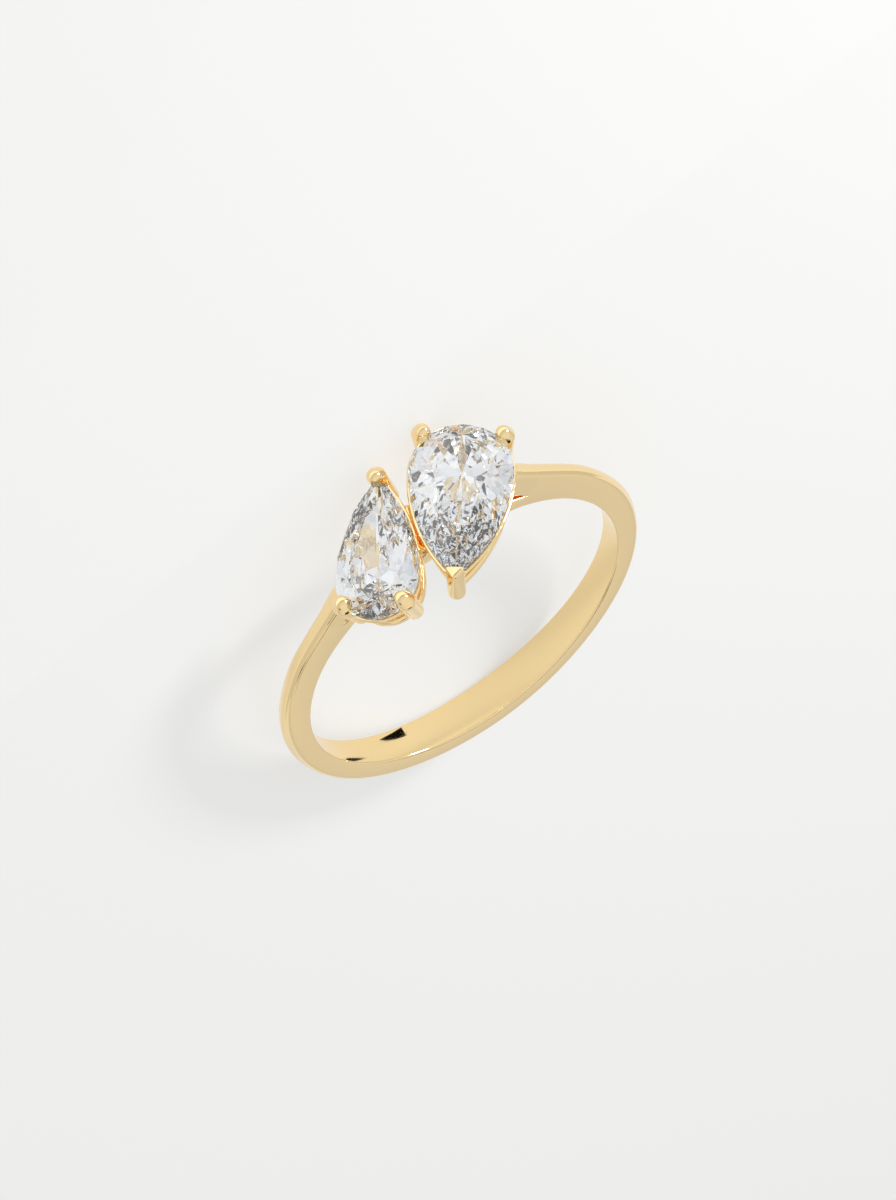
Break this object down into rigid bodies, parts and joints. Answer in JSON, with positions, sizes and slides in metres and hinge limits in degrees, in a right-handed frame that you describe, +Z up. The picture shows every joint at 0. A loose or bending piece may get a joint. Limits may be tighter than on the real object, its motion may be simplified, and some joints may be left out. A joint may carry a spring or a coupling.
{
  "type": "toi et moi ring",
  "caption": "Slim tapered finger ring with two pear-cut stones set head to tail in open claw settings between straight cathedral shoulders.",
  "frame": {"origin": "bottom centre of the bounding box, on the surface that the ring lies on", "axes": "+Z up, away from the surface; -Y is the side of the stones; the finger hole's axis leans about 8 degrees from +Z"},
  "size_m": [0.02, 0.0224, 0.0075],
  "materials": {
    "yellow_gold": "polished",
    "clear_stone": "cut and polished"
  },
  "bodies": {
    "root": {"ring_mount": "yellow_gold", "large_pear_stone": "clear_stone", "small_pear_stone": "clear_stone"}
  },
  "joints": []
}
